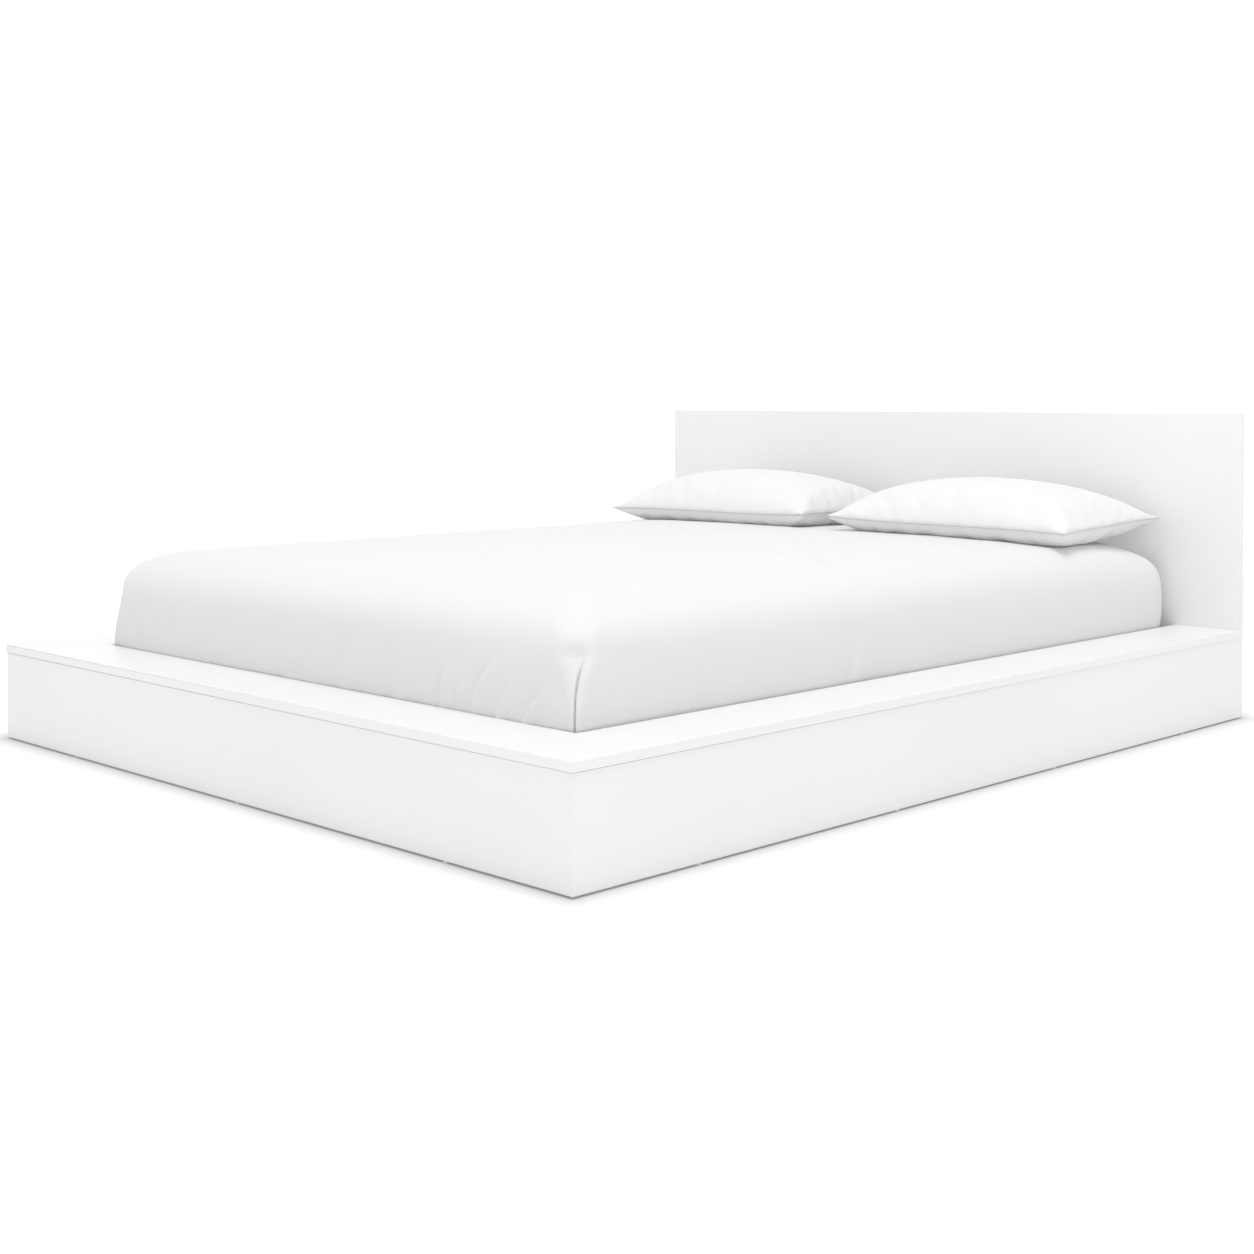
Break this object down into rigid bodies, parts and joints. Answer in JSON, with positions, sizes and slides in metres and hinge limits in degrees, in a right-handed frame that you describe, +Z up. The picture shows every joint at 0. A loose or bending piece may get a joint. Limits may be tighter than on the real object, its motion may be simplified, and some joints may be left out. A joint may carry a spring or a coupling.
{
  "type": "floor bed",
  "caption": "Low white floor bed: board base with a wide ledge round a recessed mattress, a plain upright headboard, a tucked coverlet and two pillows lying flat.",
  "frame": {"origin": "centre of the bed's footprint on the floor", "axes": "+Y from the foot to the headboard, +X to the right-hand side as seen from the foot, +Z up"},
  "size_m": [1.888, 2.248, 0.743],
  "materials": {
    "white_board": "satin",
    "raw_board": "matte",
    "pine": "matte",
    "beech": "matte",
    "zinc_steel": "satin",
    "zinc_screw": "satin",
    "nylon": "satin",
    "ticking": "matte",
    "coverlet_cotton": "matte",
    "pillow_cotton": "matte"
  },
  "bodies": {
    "frame": {"foot_board": "white_board", "side_board_left": "white_board", "side_board_right": "white_board", "rear_board": "white_board", "ledge_foot": "white_board", "ledge_left": "white_board", "ledge_right": "white_board", "rail_foot": "white_board", "rail_left": "white_board", "rail_right": "white_board", "headboard": "white_board", "rib_left_1": "raw_board", "rib_left_2": "raw_board", "rib_left_3": "raw_board", "rib_left_4": "raw_board", "rib_right_1": "raw_board", "rib_right_2": "raw_board", "rib_right_3": "raw_board", "rib_right_4": "raw_board", "rib_foot_1": "raw_board", "rib_foot_2": "raw_board", "rib_foot_3": "raw_board", "rib_foot_4": "raw_board", "block_foot_left": "pine", "block_foot_right": "pine", "block_rear_left": "pine", "block_rear_right": "pine", "ledger_left": "pine", "ledger_right": "pine", "centre_beam": "pine", "centre_leg_1": "pine", "centre_leg_2": "pine", "centre_leg_3": "pine", "slat_1": "pine", "slat_2": "pine", "slat_3": "pine", "slat_4": "pine", "slat_5": "pine", "slat_6": "pine", "slat_7": "pine", "slat_8": "pine", "slat_9": "pine", "slat_10": "pine", "slat_11": "pine", "slat_12": "pine", "slat_13": "pine", "beam_hangers": "zinc_steel", "joining_plates": "zinc_steel", "ledge_brackets": "zinc_steel", "mitre_splines": "beech", "dowels": "beech", "confirmat_screws": "zinc_screw", "wood_screws": "zinc_screw", "steel_screws": "zinc_screw", "leg_bolts": "zinc_screw", "floor_glides": "nylon"},
    "bedding": {"mattress": "ticking", "coverlet": "coverlet_cotton"},
    "left_pillow": {"pillow_left": "pillow_cotton"},
    "right_pillow": {"pillow_right": "pillow_cotton"}
  },
  "joints": [
    {"name": "mattress_lift", "type": "slide", "parent": "frame", "child": "bedding", "axis": [0, 0, 1], "range_m": [0, 0.6]},
    {"name": "pillow_left_lift", "type": "slide", "parent": "bedding", "child": "left_pillow", "axis": [0, 0, 1], "range_m": [0, 0.35]},
    {"name": "pillow_right_lift", "type": "slide", "parent": "bedding", "child": "right_pillow", "axis": [0, 0, 1], "range_m": [0, 0.35]}
  ]
}
